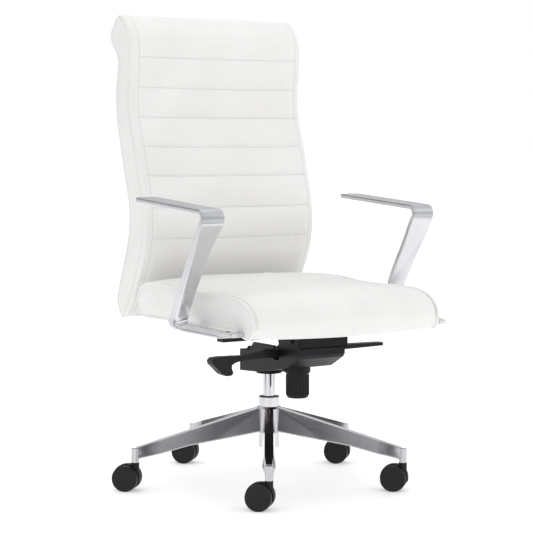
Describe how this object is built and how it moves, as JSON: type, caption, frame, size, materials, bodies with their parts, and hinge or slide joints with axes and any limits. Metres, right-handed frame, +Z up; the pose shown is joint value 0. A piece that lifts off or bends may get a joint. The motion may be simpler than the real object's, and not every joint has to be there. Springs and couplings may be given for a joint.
{
  "type": "swivel office chair",
  "caption": "High-back swivel office chair with upholstered seat and ribbed back, Z-shaped metal arms, gas lift and knee-tilt, on a five-star caster base.",
  "frame": {"origin": "on the floor, on the swivel axis of the column", "axes": "+Z up; the sitter faces -Y; -X is on the sitter's right"},
  "size_m": [0.6922, 0.7264, 1.1078],
  "materials": {
    "aluminium_polished": "polished die-cast aluminium",
    "arm_polished": "polished cast aluminium",
    "arm_satin": "satin silver cap",
    "chrome_tube": "bright chrome",
    "black_plastic": "moulded black nylon",
    "black_casting": "satin black powder coat",
    "black_steel": "black painted sheet steel",
    "zinc_steel": "zinc-plated steel",
    "white_leather": "smooth white leather with tone-on-tone stitching",
    "plywood": "moulded beech plywood",
    "caster_body": "charcoal nylon",
    "caster_wheel": "charcoal nylon with a soft tread",
    "caster_steel": "plated steel"
  },
  "bodies": {
    "base": {"base_star": "aluminium_polished", "lift_tube": "chrome_tube", "guide_sleeve": "black_plastic", "thrust_bearing": "zinc_steel"},
    "piston": {"piston_rod": "zinc_steel", "rod_clip": "zinc_steel"},
    "mechanism": {"lift_cylinder": "chrome_tube", "tilt_housing": "black_casting", "tilt_axle": "black_steel", "axle_clips": "black_steel", "tilt_spring": "zinc_steel"},
    "valve": {"valve_pin": "zinc_steel"},
    "height_handle": {"height_lever": "black_plastic"},
    "lock_handle": {"lock_lever": "black_plastic"},
    "knob": {"tension_knob": "black_plastic", "tension_screw": "zinc_steel"},
    "nut": {"spring_nut": "zinc_steel"},
    "seat": {"seat_carrier": "black_steel", "front_crossarms": "black_casting", "crossarm_bolts": "zinc_steel", "seat_bolts": "zinc_steel", "seat_board": "plywood", "seat_cushion": "white_leather", "back_board": "plywood", "back_brackets": "black_steel", "back_bolts": "zinc_steel", "back_cushion": "white_leather", "back_rear_pad": "white_leather", "head_roll": "white_leather", "arm_left": "arm_polished", "arm_right": "arm_polished", "arm_cap_left": "arm_satin", "arm_cap_right": "arm_satin", "arm_bolts": "zinc_steel"},
    "caster_1": {"caster_1_hood": "caster_body", "caster_1_stem": "caster_steel", "caster_1_axle": "caster_steel"},
    "wheel_1a": {"caster_1_wheel_a": "caster_wheel"},
    "wheel_1b": {"caster_1_wheel_b": "caster_wheel"},
    "caster_2": {"caster_2_hood": "caster_body", "caster_2_stem": "caster_steel", "caster_2_axle": "caster_steel"},
    "wheel_2a": {"caster_2_wheel_a": "caster_wheel"},
    "wheel_2b": {"caster_2_wheel_b": "caster_wheel"},
    "caster_3": {"caster_3_hood": "caster_body", "caster_3_stem": "caster_steel", "caster_3_axle": "caster_steel"},
    "wheel_3a": {"caster_3_wheel_a": "caster_wheel"},
    "wheel_3b": {"caster_3_wheel_b": "caster_wheel"},
    "caster_4": {"caster_4_hood": "caster_body", "caster_4_stem": "caster_steel", "caster_4_axle": "caster_steel"},
    "wheel_4a": {"caster_4_wheel_a": "caster_wheel"},
    "wheel_4b": {"caster_4_wheel_b": "caster_wheel"},
    "caster_5": {"caster_5_hood": "caster_body", "caster_5_stem": "caster_steel", "caster_5_axle": "caster_steel"},
    "wheel_5a": {"caster_5_wheel_a": "caster_wheel"},
    "wheel_5b": {"caster_5_wheel_b": "caster_wheel"}
  },
  "joints": [
    {"name": "swivel", "type": "hinge", "parent": "base", "child": "piston", "pos_m": [0, 0, 0.09], "axis": [0, 0, 1], "continuous": true},
    {"name": "lift", "type": "slide", "parent": "piston", "child": "mechanism", "axis": [0, 0, 1], "range_m": [0, 0.095]},
    {"name": "valve_press", "type": "slide", "parent": "mechanism", "child": "valve", "axis": [0, 0, 1], "range_m": [-0.0077, 0]},
    {"name": "height_lever_lift", "type": "hinge", "parent": "mechanism", "child": "height_handle", "pos_m": [-0.05, -0.128, 0.323], "axis": [0, 1, 0], "range_deg": [0, 8], "stiffness_Nm_per_rad": 2, "springref_deg": -6.88},
    {"name": "lock_lever_turn", "type": "hinge", "parent": "mechanism", "child": "lock_handle", "pos_m": [0.075, -0.108, 0.326], "axis": [1, 0, 0], "range_deg": [0, 35]},
    {"name": "tension_turn", "type": "hinge", "parent": "mechanism", "child": "knob", "pos_m": [0, -0.122, 0.25], "axis": [0, 0, 1], "range_deg": [-720, 720]},
    {"name": "nut_travel", "type": "slide", "parent": "mechanism", "child": "nut", "axis": [0, 0, 1], "range_m": [-0.0041, 0.0041], "deforming": ["tilt_spring"]},
    {"name": "tilt", "type": "hinge", "parent": "mechanism", "child": "seat", "pos_m": [0, -0.195, 0.362], "axis": [-1, 0, 0], "range_deg": [0, 13], "stiffness_Nm_per_rad": 180, "springref_deg": -34.38},
    {"name": "caster_1_swivel", "type": "hinge", "parent": "base", "child": "caster_1", "pos_m": [-0.17462, -0.2741, 0.085], "axis": [0, 0, 1], "continuous": true},
    {"name": "wheel_1a_roll", "type": "hinge", "parent": "caster_1", "child": "wheel_1a", "pos_m": [-0.18862, -0.25981, 0.03], "axis": [-0.7145, -0.6997, 0], "continuous": true},
    {"name": "wheel_1b_roll", "type": "hinge", "parent": "caster_1", "child": "wheel_1b", "pos_m": [-0.18862, -0.25981, 0.03], "axis": [-0.7145, -0.6997, 0], "continuous": true},
    {"name": "caster_2_swivel", "type": "hinge", "parent": "base", "child": "caster_2", "pos_m": [0.20672, -0.25078, 0.085], "axis": [0, 0, 1], "continuous": true},
    {"name": "wheel_2a_roll", "type": "hinge", "parent": "caster_2", "child": "wheel_2a", "pos_m": [0.19273, -0.23649, 0.03], "axis": [-0.7145, -0.6997, 0], "continuous": true},
    {"name": "wheel_2b_roll", "type": "hinge", "parent": "caster_2", "child": "wheel_2b", "pos_m": [0.19273, -0.23649, 0.03], "axis": [-0.7145, -0.6997, 0], "continuous": true},
    {"name": "caster_3_swivel", "type": "hinge", "parent": "base", "child": "caster_3", "pos_m": [0.30239, 0.11911, 0.085], "axis": [0, 0, 1], "continuous": true},
    {"name": "wheel_3a_roll", "type": "hinge", "parent": "caster_3", "child": "wheel_3a", "pos_m": [0.28839, 0.1334, 0.03], "axis": [-0.7145, -0.6997, 0], "continuous": true},
    {"name": "wheel_3b_roll", "type": "hinge", "parent": "caster_3", "child": "wheel_3b", "pos_m": [0.28839, 0.1334, 0.03], "axis": [-0.7145, -0.6997, 0], "continuous": true},
    {"name": "caster_4_swivel", "type": "hinge", "parent": "base", "child": "caster_4", "pos_m": [-0.01984, 0.32439, 0.085], "axis": [0, 0, 1], "continuous": true},
    {"name": "wheel_4a_roll", "type": "hinge", "parent": "caster_4", "child": "wheel_4a", "pos_m": [-0.03383, 0.33868, 0.03], "axis": [-0.7145, -0.6997, 0], "continuous": true},
    {"name": "wheel_4b_roll", "type": "hinge", "parent": "caster_4", "child": "wheel_4b", "pos_m": [-0.03383, 0.33868, 0.03], "axis": [-0.7145, -0.6997, 0], "continuous": true},
    {"name": "caster_5_swivel", "type": "hinge", "parent": "base", "child": "caster_5", "pos_m": [-0.31465, 0.08137, 0.085], "axis": [0, 0, 1], "continuous": true},
    {"name": "wheel_5a_roll", "type": "hinge", "parent": "caster_5", "child": "wheel_5a", "pos_m": [-0.32864, 0.09566, 0.03], "axis": [-0.7145, -0.6997, 0], "continuous": true},
    {"name": "wheel_5b_roll", "type": "hinge", "parent": "caster_5", "child": "wheel_5b", "pos_m": [-0.32864, 0.09566, 0.03], "axis": [-0.7145, -0.6997, 0], "continuous": true}
  ],
  "couplings": [
    {"joint": "valve_press", "follows": "height_lever_lift", "m_per_rad": -0.0545},
    {"joint": "nut_travel", "follows": "tension_turn", "m_per_rad": 0.00031831}
  ]
}
